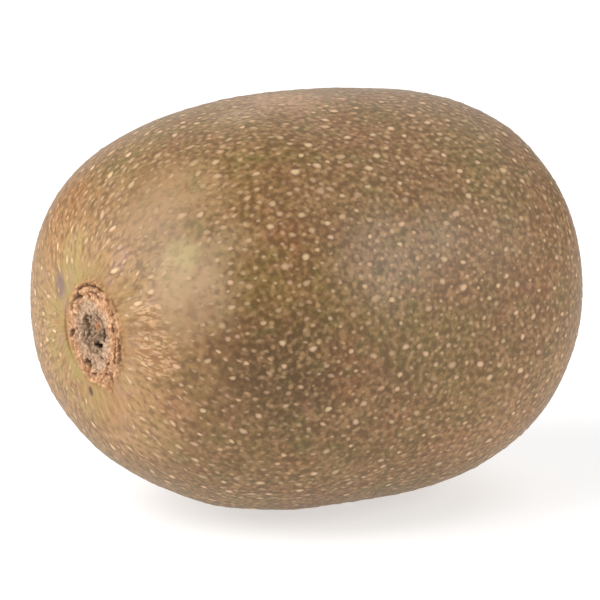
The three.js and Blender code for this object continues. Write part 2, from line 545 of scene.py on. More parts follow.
class Recipe:
    """The node tree of one finish."""

    def __init__(self, name: str) -> None:
        """Starts an empty material of that name.

        Args:
            name: The material's name.
        """
        self.material = bpy.data.materials.new(name)
        self.material.use_nodes = True
        self.tree = self.material.node_tree
        self.tree.nodes.clear()

    def node(self, kind: str, settings: dict[str, Any], values: dict[Any, Operand]) -> bpy.types.Node:
        """Adds a node.

        Args:
            kind: The node's type, without the ShaderNode in front.
            settings: The node's own settings, such as an operation.
            values: Numbers, colours or links of its input sockets, by name or place.

        Returns:
            The node.
        """
        node = self.tree.nodes.new("ShaderNode" + kind)
        for name, setting in settings.items():
            setattr(node, name, setting)
        for name, value in values.items():
            if isinstance(value, Value):
                self.tree.links.new(value.socket, node.inputs[name])
            else:
                node.inputs[name].default_value = value
        return node

    def output(self, kind: str, settings: dict[str, Any], values: dict[Any, Operand], name: Any = 0) -> Value:
        """Adds a node, as above, and takes its output of that name or place."""
        return Value(self, self.node(kind, settings, values).outputs[name])

    def maths(self, operation: str, *operands: Operand) -> Value:
        """One Math node."""
        return self.output("Math", {"operation": operation}, dict(enumerate(operands)))

    def root(self, value: Value) -> Value:
        """The square root."""
        return self.maths("SQRT", value)

    def vector(self, operation: str, *operands: Operand) -> Value:
        """One Vector Math node."""
        name = "Value" if operation == "LENGTH" else "Vector"
        return self.output("VectorMath", {"operation": operation}, dict(enumerate(operands)), name)

    def place(self) -> Value:
        """Object coordinates in millimetres about the middle of the core.

        Returns:
            The places.
        """
        source = self.output("TexCoord", {}, {}, "Object")
        centre = FORM.middle / MM
        values = {"Vector": source, "Location": tuple(-centre), "Scale": (1 / MM,) * 3}
        return self.output("Mapping", {"vector_type": "POINT"}, values)

    def away(self, where: Value, point: Triple) -> Value:
        """Distance from a point."""
        return self.vector("LENGTH", self.vector("SUBTRACT", where, point))

    def parts(self, vector: Value) -> tuple[Value, Value, Value]:
        """The three parts of a vector."""
        x, y, z = self.node("SeparateXYZ", {}, {"Vector": vector}).outputs
        return Value(self, x), Value(self, y), Value(self, z)

    def joined(self, x: Operand, y: Operand, z: Operand) -> Value:
        """A vector of three parts."""
        return self.output("CombineXYZ", {}, {0: x, 1: y, 2: z})

    def noise(self, where: Value, per_mm: float, detail: float = 2, rough: float = 0.5) -> Value:
        """Cloudy noise about 0.5, of so many lumps a millimetre."""
        values = {"Vector": where, "Scale": per_mm, "Detail": detail, "Roughness": rough}
        return self.output("TexNoise", {"noise_dimensions": "3D"}, values, "Fac")

    def cells(self, where: Value, per_mm: float) -> tuple[Value, Value]:
        """Scattered cells: the distance from each cell's middle, and a random number for it.

        Args:
            where: The places.
            per_mm: Cells a millimetre.

        Returns:
            The distance and the number.
        """
        values = {"Vector": where, "Scale": per_mm, "Randomness": 1.0}
        node = self.node("TexVoronoi", {"feature": "F1"}, values)
        red = self.output("SeparateColor", {}, {0: Value(self, node.outputs["Color"])})
        return Value(self, node.outputs["Distance"]), red

    def step(self, value: Value, low: float, high: float) -> Value:
        """A smooth step from 0 at low to 1 at high.

        Args:
            value: The number to grade.
            low: Where the step starts.
            high: Where it ends, which may be below low.

        Returns:
            The grade, 0 to 1.
        """
        settings = {"interpolation_type": "SMOOTHSTEP", "clamp": True}
        values = {"Value": value, "From Min": low, "From Max": high, "To Min": 0.0, "To Max": 1.0}
        if low > high:
            values.update({"From Min": high, "From Max": low, "To Min": 1.0, "To Max": 0.0})
        return self.output("MapRange", settings, values)

    def blend(self, share: Operand, first: Operand, second: Operand) -> Value:
        """Two colours mixed, with so much of the second."""
        settings = {"data_type": "RGBA", "blend_type": "MIX", "clamp_factor": True}
        return self.output("Mix", settings, {0: share, 6: first, 7: second}, 2)

    def stored(self, name: str) -> Value:
        """A number stored on the piece's vertices."""
        return self.output("Attribute", {"attribute_name": name}, {}, "Fac")

    def surface(
        self, base: Value, rough: float, height: Value, depth_mm: float, **others: Operand
    ) -> bpy.types.Material:
        """Ends the recipe with one surface.

        Args:
            base: The colour.
            rough: The roughness.
            height: Fine relief, 0 to 1.
            depth_mm: What a height of 1 stands for, in millimetres.
            **others: Other sockets of the surface, with words joined by underscores.

        Returns:
            The finished material.
        """
        relief = {"Strength": 1.0, "Distance": depth_mm * MM, "Height": height}
        values = {"Base Color": base, "Roughness": rough, "Normal": self.output("Bump", {}, relief)}
        values.update({name.replace("_", " "): value for name, value in others.items()})
        shader = self.output("BsdfPrincipled", {}, values)
        self.node("OutputMaterial", {}, {"Surface": shader})
        return self.material


# ---------------------------------------------------------------------------------------
# Finishes
# ---------------------------------------------------------------------------------------


@dataclass(frozen=True)
class Cloud:
    """A broad soft patch of another tone, for the skin's own colour and also for painted highlights and
    painted shade: its middle in the core's millimetres, and its reach.
    """

    middle: Triple
    reach: float
    tone: Colour
    share: float
    ragged: float = 0.5
    core: float = 0.15

    def patches(self, recipe: Recipe, where: Value) -> Value:
        """How much of the tone there is at each place, with a ragged edge.

        Args:
            recipe: The finish that is being written.
            where: The places in millimetres.

        Returns:
            The share of the tone.
        """
        ragged = recipe.noise(where, 0.16, 3) * (self.ragged * self.reach)
        away = recipe.away(where, self.middle) + ragged - self.ragged / 2 * self.reach
        return recipe.step(away, self.reach, self.core * self.reach) * self.share


@dataclass(frozen=True)
class Mottle:
    """A tone in small patches all over the skin, where noise is high.

    The patches start at the first of the levels of the noise and are full at the second. The
    shift moves the noise, so that no two mottles match.
    """

    tone: Colour
    share: float
    per_mm: float
    levels: Span
    shift: Triple = (0.0, 0.0, 0.0)
    detail: float = 2.0
    rough: float = 0.5

    def patches(self, recipe: Recipe, where: Value) -> Value:
        """How much of the tone there is at each place.

        Args:
            recipe: The finish that is being written.
            where: The places in millimetres.

        Returns:
            The share of the tone.
        """
        shifted = recipe.vector("ADD", where, self.shift)
        level = recipe.noise(shifted, self.per_mm, self.detail, self.rough)
        return recipe.step(level, *self.levels) * self.share


@dataclass(frozen=True)
class SkinFinish:
    """Thin olive-brown skin, mottled green and russet, streaked along the core at the stem."""

    olive: Colour = colour(124, 99, 55)
    russet: Colour = colour(139, 87, 51)
    tan: Colour = colour(163, 124, 77)
    pale: Colour = colour(196, 155, 108)
    dark: Colour = colour(62, 37, 8)
    between: Colour = colour(158, 118, 76)
    stroke: Colour = colour(222, 176, 136)
    bruise: Colour = colour(112, 86, 82)
    foot: Colour = colour(84, 54, 32)
    creams: tuple[Colour, Colour] = (colour(220, 178, 142), colour(210, 180, 134))
    brown: Mottle = Mottle(colour(128, 94, 56), 1.0, 0.09, (0.35, 0.65), detail=3)
    rusty: Mottle = Mottle(russet, 0.6, 0.13, (0.52, 0.75), (31, 7, 3), 4, 0.6)
    green: Mottle = Mottle(colour(107, 101, 51), 0.4, 0.4, (0.52, 0.75), (5, 41, 19))
    pink: Mottle = Mottle(colour(154, 108, 81), 0.4, 0.45, (0.54, 0.78), (17, 3, 57))
    halo: Mottle = Mottle(colour(151, 131, 74), 0.7, 0.22, (0.38, 0.6))
    mauve: Mottle = Mottle(colour(150, 112, 96), 0.5, 0.35, (0.56, 0.7), (3, 71, 9))
    clouds_and_painted_light: tuple[Cloud, ...] = (
        # Painted shade: a dark band low on the front, between the two highlights.
        Cloud((-21, -25, -3), 12.0, colour(86, 58, 27), 0.65),
        # Painted light: paler low on the front right, standing in for bounce light from the floor.
        Cloud((10, -24, -14), 11.0, colour(168, 128, 86), 0.4),
        # Painted highlight: paler where the key light's sheen falls on the stem shoulder.
        Cloud((-26, -10, 16.5), 8.0, colour(190, 156, 114), 0.4),
        # Painted highlight: paler where the key light's sheen falls on the stem shoulder.
        Cloud((-29, -16, 7), 8.0, colour(196, 163, 132), 0.52),
        Cloud((-32, -6, 10), 4.5, colour(146, 106, 66), 0.45),
        Cloud((-31, -8, -10.5), 9.0, colour(188, 150, 106), 0.4),
        # Painted highlight: paler and greyer where the fill light's reflection falls on the front.
        Cloud((-8, -26, 9), 9.0, colour(160, 132, 112), 0.4),
        Cloud((-32.4, -9.9, 0), 2.8, colour(132, 94, 72), 0.7),
        Cloud((-28.7, -14.6, 10), 3.5, colour(174, 166, 102), 0.4),
        Cloud((-33, 1.9, 8.7), 4.0, colour(160, 156, 82), 0.6),
        Cloud((-31.7, 7.8, 10.1), 4.5, colour(136, 86, 48), 0.55),
        Cloud((-30, -14.3, -8), 4.0, colour(186, 122, 98), 0.3),
        # Painted rim light: paler along the top edge, where the back light grazes the skin.
        Cloud((-4, -1, 25), 8.0, colour(172, 136, 98), 0.35),
        # Painted rim light: paler along the top edge, where the back light grazes the skin.
        Cloud((-12, -2, 23), 4.5, colour(196, 164, 134), 0.35),
        Cloud((20, -22, 7), 13.0, colour(126, 88, 42), 0.58),
        Cloud((24, -17, 9), 10.0, colour(122, 80, 36), 0.5),
        # Painted highlight: a faint pale edge to the key light's sheen.
        Cloud((-24.5, -18, 11.8), 4.0, colour(196, 162, 126), 0.2),
        Cloud((-6.5, -27, -6), 6.5, colour(104, 72, 44), 0.3),
        Cloud((-11, -14, 20.6), 6.0, colour(118, 82, 48), 0.28),
        Cloud((-33, -8.6, -4.2), 3.5, colour(190, 158, 128), 0.4),
        # Painted rim light: paler along the top edge, where the back light grazes the skin.
        Cloud((-5, -1, 24.5), 9.0, colour(186, 152, 118), 0.35),
        # Painted highlight: widens the fill light's reflection on the front.
        Cloud((0.9, -24.9, 11.4), 5.0, colour(160, 140, 112), 0.32),
        Cloud((20.5, -23, -8), 5.0, colour(172, 122, 68), 0.35),
        # Painted shade: deepens the dark band between the two highlights.
        Cloud((-25.3, -21.1, -3.5), 4.5, colour(92, 62, 34), 0.35),
        Cloud((-28.8, -17.5, 4), 3.5, colour(122, 86, 54), 0.3),
        Cloud((-18.7, -19.9, 14.3), 4.5, colour(118, 88, 52), 0.3),
        # Painted light: paler under the right side, standing in for bounce light from the floor.
        Cloud((19.7, -17, -18), 8.0, colour(172, 134, 94), 0.3),
        Cloud((-30, 7, 13), 6.0, colour(150, 92, 50), 0.5),
        Cloud((-12, 22, 10), 13.0, colour(112, 80, 48), 0.35),
        Cloud((14, 20, 4), 10.0, colour(160, 124, 84), 0.3),
        Cloud((18, 2, -20), 11.0, colour(104, 78, 46), 0.4),
    )
    crowded: tuple[SkinPlace, ...] = (
        SkinPlace((-31.6, -13.2, -1.4), 4.2, 0.35),
        SkinPlace((-32, -12.2, 3.2), 2.6, 0.2),
    )
    stem_half: Span = (-8, -20)
    tan_reach: Span = (21, 9)
    halo_reach: Span = (13, 8)
    halo_side: Span = (-7, 1)
    faint_reach: Span = (10, 7)
    streak_reach: Span = (4, -14)
    streak_pitch: Span = (0.5, 15)
    stroke_pitch: Span = (0.8, 40)
    bruise_spot: Spot = Spot(End.STEM, 3.9, 4.0)
    bruise_edge: Span = (1.5, 0.5)
    bruise_share: float = 0.8
    nick_share: float = 0.85
    between_share: float = 0.3
    russet_share: float = 0.4
    stroke_share: float = 0.42
    tan_share: float = 0.55
    dark_share: float = 0.4
    pale_share: float = 0.6
    fleck_share: float = 0.46
    streak_mix: float = 0.75
    rough: float = 0.5
    relief: float = 0.045

    def layers(self, recipe: Recipe) -> tuple[Value, Value]:
        """The skin's colour and fine relief at every place of the fruit.

        Args:
            recipe: The finish that is being written.

        Returns:
            The colour, and the relief from 0 to 1.
        """
        skin = SkinLayers(self, recipe)
        # The clouds lay the skin's own broad tones, and also painted highlights, painted rim light, painted
        # floor bounce light and painted shade.
        for patch in (self.brown, self.rusty, *self.clouds_and_painted_light, self.green, self.pink):
            skin.lay(patch.patches(recipe, skin.where), patch.tone)
        skin.lay_stem_end()
        skin.lay_grain()
        skin.lay_strokes()
        skin.lay_blemishes()
        return skin.base, skin.height

    def skin(self) -> bpy.types.Material:
        """The finish of the plain skin.

        Returns:
            The material.
        """
        recipe = Recipe("kiwi skin")
        base, height = self.layers(recipe)
        return recipe.surface(base, self.rough, height, self.relief, Specular_IOR_Level=0.4)

    def lenticel(self) -> bpy.types.Material:
        """The finish of the lenticels, which fades into the skin at their feet.

        Returns:
            The material.
        """
        recipe = Recipe("lenticel cork")
        base, height = self.layers(recipe)
        ring, strength = recipe.stored("ring"), recipe.stored("strength")
        patchy = recipe.step(recipe.noise(recipe.place(), 1.6, 1), 0.35, 0.6)
        margin = recipe.step(ring, 0.0, 0.12) * patchy * strength
        base = recipe.blend(margin * 0.6, base, self.foot)
        cream = recipe.blend(recipe.stored("tint"), *self.creams)
        base = recipe.blend(recipe.step(ring, 0.12, 0.8) * strength, base, cream)
        return recipe.surface(base, 0.55, height, 0.03, Specular_IOR_Level=0.45)


class SkinLayers:
    """The skin's colour and relief in one recipe, as its layers are laid on."""

    def __init__(self, finish: SkinFinish, recipe: Recipe) -> None:
        """Measures the shaded place, in millimetres about the core, and starts from bare olive.

        Args:
            finish: The skin's tones and their shares.
            recipe: The finish that is being written.
        """
        self.finish = finish
        self.recipe = recipe
        self.base: Operand = finish.olive
        self.height: Operand = 0.5
        self.halo: Operand = 0.0
        self.where = recipe.place()
        x, self.y, self.z = recipe.parts(self.where)
        self.off_axis = recipe.root(self.y * self.y + self.z * self.z + 0.01)
        stem_y, stem_z = self.y - STEM_SPOT.y, self.z - STEM_SPOT.z
        self.from_scar = recipe.root(stem_y * stem_y + stem_z * stem_z)
        self.stem_half = recipe.step(x, *finish.stem_half)
        self.run = self.off_axis + x

    def lay(self, share: Value, tone: Colour) -> None:
        """Lays so much of a tone over the colour so far."""
        self.base = self.recipe.blend(share, self.base, tone)

    def rays(self, per_mm: float, per_turn: float) -> Value:
        """Places at which noise makes streaks that run away from the stem."""
        y, z = self.y / self.off_axis, self.z / self.off_axis
        return self.recipe.joined(self.run * per_mm, y * per_turn, z * per_turn)

    def inside(self, place: SkinPlace, ragged: Operand = 0.0) -> Value:
        """How far each place is inside a round place of the skin, with a ragged edge or none."""
        away = self.recipe.away(self.where, place.middle) + ragged
        return self.recipe.step(away, place.reach, place.edge * place.reach)

    def lay_stem_end(self) -> None:
        """Lays on the stem end's tones: a yellow-green halo round the scar on tan skin."""
        recipe, finish = self.recipe, self.finish
        near = recipe.step(self.off_axis, *finish.tan_reach) * self.stem_half
        self.lay(near * finish.tan_share, finish.tan)
        ring = recipe.step(self.from_scar, *finish.halo_reach) * self.stem_half
        ring = ring * recipe.step(self.y, *finish.halo_side)
        self.halo = finish.halo.patches(recipe, self.where) * ring
        self.lay(self.halo, finish.halo.tone)
        self.lay(finish.mauve.patches(recipe, self.where) * near, finish.mauve.tone)

    def clear(self, broad: Value) -> Value:
        """How clear the grain is: fainter by the scar, in the halo, where the skin is rubbed, and under the
        key light's sheen, where the fading is painted highlight.

        Args:
            broad: Noise that makes the edges of the rubbed places and the painted-sheen places ragged.

        Returns:
            The clearness, 0 to 1.
        """
        by_scar = self.recipe.step(self.from_scar, *self.finish.faint_reach) * self.stem_half
        clear = (1 - by_scar * 0.4) * (1 - self.halo * 0.5)
        # The first three places are painted highlight: the grain fades under the key light's sheen.
        for rubbed_sheen_place in RUBBED_AND_SHEEN:
            clear = clear * (1 - self.inside(rubbed_sheen_place, broad * 3 - 1.5) * 0.5)
        return clear

    def lay_grain(self) -> None:
        """Lays on the fine grain: pale flecks with darker skin between, in streaks at the stem."""
        recipe, finish = self.recipe, self.finish
        streaked = recipe.step(self.run, *finish.streak_reach) * self.stem_half
        streak = recipe.noise(self.rays(*finish.streak_pitch), 1.45, 1)
        broad = recipe.noise(self.where, 0.75, 1)
        grain = recipe.noise(self.where, 1.5, 1) * 0.85 + broad * 0.15
        fine = grain * (1 - streaked * finish.streak_mix) + streak * streaked * finish.streak_mix
        fleck_away, fleck_kind = recipe.cells(self.where, 1.0)
        fleck = recipe.step(fleck_away, 0.44, 0.14) * recipe.step(fleck_kind, 0.2, 0.75)
        clear = self.clear(broad)
        depth = clear * (finish.dark_share + streaked * 0.03)
        self.lay(recipe.step(fine, 0.53, 0.37) * depth, finish.dark)
        self.lay(recipe.step(fine, 0.52, 0.68) * depth * finish.pale_share, finish.pale)
        self.lay(fleck * (1 - streaked) * clear * finish.fleck_share, finish.pale)
        self.height = fine * 0.6 + fleck * 0.4

    def lay_strokes(self) -> None:
        """Lays on the close short strokes beside the scar."""
        recipe, finish = self.recipe, self.finish
        stroke = recipe.noise(self.rays(*finish.stroke_pitch), 1, 1)
        for place in finish.crowded:
            crowd = self.inside(place)
            self.lay(crowd * finish.between_share, finish.between)
            self.lay(recipe.step(stroke, 0.5, 0.38) * crowd * finish.russet_share, finish.russet)
            self.lay(recipe.step(stroke, 0.5, 0.62) * crowd * finish.stroke_share, finish.stroke)

    def lay_blemishes(self) -> None:
        """Lays on the slanted oval bruise over the scar, and the dark nick under it."""
        recipe, finish = self.recipe, self.finish
        y, z = self.y - finish.bruise_spot.y, self.z - finish.bruise_spot.z
        across, along = y * 0.9 - z * 0.43, y * 0.43 + z * 0.9
        away = recipe.root(across * across + along * along * 0.45)
        bruised = recipe.step(away, *finish.bruise_edge) * self.stem_half
        self.lay(bruised * finish.bruise_share, finish.bruise)
        from_nick = recipe.vector("SUBTRACT", self.where, NICK.middle)
        nick_away = recipe.vector("LENGTH", recipe.vector("MULTIPLY", from_nick, NICK.shape))
        nicked = recipe.step(nick_away, NICK.reach, NICK.edge * NICK.reach)
        self.lay(nicked * finish.nick_share, finish.dark)


@dataclass(frozen=True)
class CorkFinish:
    """The stem scar: pinkish cork round a grey woody core, with pits painted near-black as painted shade."""

    skin: SkinFinish
    cork: Colour = colour(166, 120, 84)
    cork_light: Colour = colour(206, 164, 126)
    fill: Colour = colour(147, 118, 92)
    fill_light: Colour = colour(184, 154, 127)
    wood: Colour = colour(94, 76, 58)
    wood_light: Colour = colour(152, 128, 102)
    # Dark brown of the cracks, also laid as painted shade in the gaps between the rim's lumps.
    crevice: Colour = colour(84, 46, 22)
    fleck: Colour = colour(190, 128, 90)
    # Painted shade: the near-black laid into the pits, darker the deeper a pit is.
    pit: Colour = colour(12, 8, 6)

    def material(self) -> bpy.types.Material:
        """The finish, which reads the masks that the scar's mesh stores.

        Returns:
            The material.
        """
        recipe = Recipe("stem cork")
        base, fine = self.skin.layers(recipe)
        where = recipe.place()
        grain = recipe.noise(where, 1.9, 2, 0.5)
        mottle = recipe.step(grain, 0.36, 0.64)
        body = recipe.blend(mottle, self.fill, self.fill_light)
        cork = recipe.blend(mottle, self.cork, self.cork_light)
        wood = recipe.blend(mottle, self.wood, self.wood_light)
        # The gap mark is painted shade between the rim's lumps of cork, and the cracks' own dark brown.
        marks = {"rim": cork, "core": wood, "fleck": self.fleck, "gap": self.crevice, "pit": self.pit}
        for mark, tone in marks.items():
            body = recipe.blend(recipe.stored(mark), body, tone)
        base = recipe.blend(recipe.stored("cover"), base, body)
        return recipe.surface(base, 0.75, grain * 0.7 + fine * 0.3, 0.08, Specular_IOR_Level=0.25)


@dataclass(frozen=True)
class DriedFinish:
    """Dried dark brown fibre of the styles and the button that they stand on."""

    skin: SkinFinish
    dark: Colour = colour(52, 34, 24)
    light: Colour = colour(122, 90, 60)
    crown: Colour = colour(156, 116, 78)

    def material(self) -> bpy.types.Material:
        """The finish, which fades into the skin where the mesh stores a low cover.

        Returns:
            The material.
        """
        recipe = Recipe("dried style")
        base, _ = self.skin.layers(recipe)
        grain = recipe.noise(recipe.place(), 2.4, 3, 0.65)
        fibre = recipe.blend(recipe.step(grain, 0.38, 0.62), self.dark, self.light)
        crown = recipe.stored("crown") * recipe.step(grain, 0.25, 0.45)
        fibre = recipe.blend(crown, fibre, self.crown)
        base = recipe.blend(recipe.stored("cover"), base, fibre)
        return recipe.surface(base, 0.8, grain, 0.15, Specular_IOR_Level=0.25)


@dataclass(frozen=True)
class FloorFinish:
    """A plain pale floor, lit softly through from below as a light table is."""

    tone: Colour = (0.54, 0.54, 0.54, 1.0)
    tooth: Colour = (0.51, 0.51, 0.51, 1.0)
    glow: Colour = (0.58, 0.58, 0.58, 1.0)
    far_glow: Colour = (0.95, 0.95, 0.95, 1.0)
    far: Span = (260.0, 480.0)

    def material(self) -> bpy.types.Material:
        """The finish, with a faint tooth, which glows more beyond the lights' reach.

        Returns:
            The material.
        """
        recipe = Recipe("floor")
        where = recipe.place()
        tooth = recipe.noise(where, 0.4, 2)
        base = recipe.blend(tooth, self.tone, self.tooth)
        beyond = recipe.step(recipe.vector("LENGTH", where), *self.far)
        light = recipe.blend(beyond, self.glow, self.far_glow)
        others = {"Specular_IOR_Level": 0.2, "Emission_Color": light, "Emission_Strength": 1.0}
        return recipe.surface(base, 0.9, tooth, 0.01, **others)


# ---------------------------------------------------------------------------------------
# Pieces
# ---------------------------------------------------------------------------------------


DIP_DEPTH = 0.35
DIP_WIDTH = 0.9


def dip(radius: Array, reach: float) -> Array:
    """How far a disc's margin goes under the skin, so that its edge doesn't show."""
    return DIP_DEPTH * ease(radius, reach - DIP_WIDTH, reach)


@dataclass(frozen=True)
class Pit:
    """A small dark hole: its middle, across and up from the scar's, and its half sizes."""

    across: float
    up: float
    half_across: float
    half_up: float
    depth: float


@dataclass(frozen=True)
class Crevice:
    """A winding crack: the points that it passes, across and up, its half width and its depth."""

    line: tuple[Span, ...]
    half_width: float
    depth: float

    def nearness(self, across: Array, up: Array) -> Array:
        """How near each place is to the crack, from 1 in it to 0 beside it.

        Args:
            across: Places across the scar.
            up: Places up the scar.

        Returns:
            The nearness of each place.
        """
        away = np.full(across.shape, OUT_OF_REACH)
        for (a, u), (next_a, next_u) in zip(self.line, self.line[1:]):
            run_a, run_u = next_a - a, next_u - u
            share = np.clip(((across - a) * run_a + (up - u) * run_u) / (run_a**2 + run_u**2), 0, 1)
            away = np.minimum(away, np.hypot(across - a - share * run_a, up - u - share * run_u))
        return ease(away, 1.3 * self.half_width, 0.3 * self.half_width)


@dataclass
class StemScar:
    """The corky scar where the stem broke off: an oval of a nominal radius, wider up than across.

    Across is towards -Y, which is to the right when one looks at the stem end. Radii are
    nominal, and the places of pits and cracks are true millimetres from the stem spot.
    """

    finish: CorkFinish
    seed: int = 3
    reach: float = 7.3
    spacing: float = 0.1
    middle: Span = (0.38, 0.37)
    squeeze: float = 0.9
    stretch: float = 1.09
    tilt: float = math.radians(11)
    core: float = 2.25
    rim_inside: float = 4.3
    rim_outside: float = 5.85
    broad_side: float = 0.6
    broadening: float = 0.95
    lump_turns: float = 5.0
    lump_run: float = 1.9
    lump_scale: float = 0.8
    lump_bend: float = 0.5
    rim_height: float = 0.3
    lump_height: float = 0.3
    fill_depth: float = 0.12
    core_depth: float = 0.3
    lump_middle: float = 0.6
    rim_roughness: Span = (0.3, 0.1)
    fill_roughness: Span = (0.2, 0.16)
    fill_lumps: float = 0.1
    core_roughness: float = 0.3
    fibres: float = 8.0
    fibre_height: float = 0.16
    wavers: tuple[tuple[float, Triple], ...] = ((0.9, (3, 5, 7)), (2.7, (9, 1, 4)), (0.55, (1, 8, 2)))
    pits: tuple[Pit, ...] = (
        Pit(2.2, 0.5, 0.5, 0.8, 1.8),
        Pit(1.0, -1.05, 0.38, 0.38, 1.6),
        Pit(-4.0, -0.3, 0.4, 0.5, 0.5),
        Pit(-2.5, 4.3, 0.42, 0.26, 0.5),
        Pit(1.3, 4.9, 0.42, 0.34, 0.5),
        Pit(2.7, -4.0, 0.25, 0.2, 0.4),
        Pit(-0.7, 2.0, 0.3, 0.2, 0.4),
        Pit(-1.1, -3.5, 0.38, 0.42, 0.7),
        Pit(4.2, -2.3, 0.3, 0.4, 0.5),
        Pit(0.1, -0.2, 0.24, 0.22, 0.5),
        Pit(-1.7, 1.75, 0.26, 0.2, 0.5),
        Pit(3.0, -3.0, 0.22, 0.2, 0.4),
    )
    crevices: tuple[Crevice, ...] = (
        Crevice(((-1.7, 1.7), (-1.2, 1.2), (-1.0, 0.6), (-1.15, -0.2)), 0.24, 0.6),
        Crevice(((-1.2, -3.1), (-0.9, -3.8), (-0.8, -4.3), (-0.1, -4.7), (0.7, -4.8)), 0.28, 0.45),
        Crevice(((-4.1, 2.6), (-3.5, 3.6), (-2.6, 4.4)), 0.28, 0.4),
        Crevice(((-2.6, 5.3), (-1.6, 5.75), (0.0, 6.1), (1.1, 6.05), (2.3, 5.8)), 0.26, 0.3),
        Crevice(((-0.9, 4.6), (-0.3, 5.2), (0.7, 5.15)), 0.24, 0.3),
        Crevice(((3.8, 2.7), (4.2, 1.8), (4.5, 0.6), (4.6, -0.5), (4.3, -1.6), (4.2, -2.5)), 0.22, 0.3),
        Crevice(((0.9, 2.7), (1.4, 2.1), (2.1, 1.6), (2.4, 1.1)), 0.2, 0.4),
        Crevice(((4.1, 5.1), (4.7, 4.5), (4.95, 3.5)), 0.2, 0.2),
        Crevice(((5.1, 0.6), (5.4, -0.6), (5.1, -2.2)), 0.18, 0.15),
        Crevice(((3.4, -3.9), (3.5, -5.1), (3.4, -6.4)), 0.16, 0.2),
        Crevice(((1.4, -2.4), (2.3, -3.0), (3.1, -2.7)), 0.2, 0.25),
        Crevice(((-4.3, -1.6), (-3.6, -3.2), (-2.6, -4.3)), 0.16, 0.15),
    )
    fleck: Pit = Pit(0.9, 1.3, 0.36, 0.6, 0.0)
    knob: Pit = Pit(2.6, -6.1, 0.28, 0.5, 0.2)
    hollow_depth: float = 0.3
    hollow_width: float = 8.0
    crease_height: float = 0.07
    crease_reach: Triple = (5.2, 8.0, 13.0)
    crease_waves: tuple[Triple, ...] = ((1.0, 9.0, 1.0), (1.0, 14.0, 0.0), (0.7, 37.0, 2.0))

    @classmethod
    def nominal(cls, points: Array) -> Array:
        """Nominal radius of points of the skin round the scar, and far at the other end.

        Args:
            points: Points of the smooth skin.

        Returns:
            The radii.
        """
        across = STEM_SPOT.y - points[:, 1] - cls.middle[0]
        up = points[:, 2] - STEM_SPOT.z - cls.middle[1]
        narrow = (across * math.cos(cls.tilt) + up * math.sin(cls.tilt)) / cls.squeeze
        tall = (up * math.cos(cls.tilt) - across * math.sin(cls.tilt)) / cls.stretch
        return np.where(points[:, 0] * End.STEM.value > 0, np.hypot(narrow, tall), OUT_OF_REACH)

    @classmethod
    def hollow(cls, points: Array) -> Array:
        """Height of the shallow hollow that the scar sits in, over the smooth skin."""
        return -cls.hollow_depth * bump(STEM_SPOT.distance(points), cls.hollow_width)

    @classmethod
    def creases(cls, points: Array) -> Array:
        """Height of the short creases that run out from the scar.

        Args:
            points: Points of the smooth skin.

        Returns:
            The heights.
        """
        away = STEM_SPOT.distance(points)
        angle = np.arctan2(points[:, 2] - STEM_SPOT.z, points[:, 1] - STEM_SPOT.y)
        first, deepest, last = cls.crease_reach
        share = ease(away, first, deepest) * ease(away, last, deepest)
        waves = sum(high * np.cos(count * angle + start) for high, count, start in cls.crease_waves)
        return share * cls.crease_height * waves

    def build(self) -> bpy.types.Object:
        """Models the scar as a fine disc and raises its cork.

        Returns:
            The finished piece.
        """
        piece = Bench.disc("stem_scar", self.reach, self.spacing)
        flat = Bench.read(piece)
        narrow, tall = flat[:, 0] * self.squeeze, flat[:, 1] * self.stretch
        across = self.middle[0] + narrow * math.cos(self.tilt) - tall * math.sin(self.tilt)
        up = self.middle[1] + narrow * math.sin(self.tilt) + tall * math.cos(self.tilt)
        points = FORM.at_end(End.STEM, STEM_SPOT.y - across, STEM_SPOT.z + up)
        heights = self.relief(piece, np.hypot(flat[:, 0], flat[:, 1]), across, up)
        base = self.hollow(points) + self.creases(points) + FORM.swell(points)
        Bench.write(piece, FORM.place(points, base + heights))
        Bench.finish(piece, self.finish.material(), Slot.CORK)
        return piece

    def lump_gaps(self, turn: Array, nominal: Array, across: Array, up: Array) -> Array:
        """How far each place is from the gaps between the rim's lumps of cork.

        Args:
            turn: Each place's angle round the scar.
            nominal: Its nominal radius.
            across: Its place across the scar.
            up: Its place up the scar.

        Returns:
            The distances, as shares of a lump.
        """
        noise.seed_set(self.seed)
        gaps = np.empty(len(turn))
        for i in range(len(turn)):
            round_rim = (math.cos(turn[i]), math.sin(turn[i]))
            place = Vector((*(self.lump_turns * r for r in round_rim), nominal[i] * self.lump_run))
            bend = noise.noise_vector(Vector((across[i], up[i], 0.0)) * 1.3)
            nearest = noise.voronoi(place * self.lump_scale + self.lump_bend * bend)[0]
            gaps[i] = nearest[1] - nearest[0]
        return gaps

    def dig(
        self, across: Array, up: Array, rough: Array, fine: Array, edge: Array
    ) -> tuple[Array, Array, Array]:
        """Digs the pits and crevices, with ragged edges.

        Args:
            across: Each place across the scar.
            up: Each place up the scar.
            rough: Coarse waver.
            fine: Fine waver.
            edge: Broad waver.

        Returns:
            How deep each place is, how much of the pits' painted shade (near-black) it has, and how much of a
            crack.
        """
        depth, pits, cracks = np.zeros((3, len(across)))
        for pit in self.pits:
            hole = self.spot_share(pit, across + 0.12 * rough, up + 0.25 * edge, fine)
            # Painted shade: a pit's near-black grows with its depth.
            pits = np.maximum(pits, ease(hole, 0.0, 0.2) * min(1.0, 0.3 + 0.45 * pit.depth))
            depth = np.maximum(depth, hole * pit.depth)
        for crevice in self.crevices:
            crack = crevice.nearness(across + 0.22 * fine, up + 0.22 * rough)
            cracks = np.maximum(cracks, crack * (0.9 + 0.7 * rough))
            depth = np.maximum(depth, crack * crevice.depth)
        return depth, pits, np.clip(cracks, 0, 1)

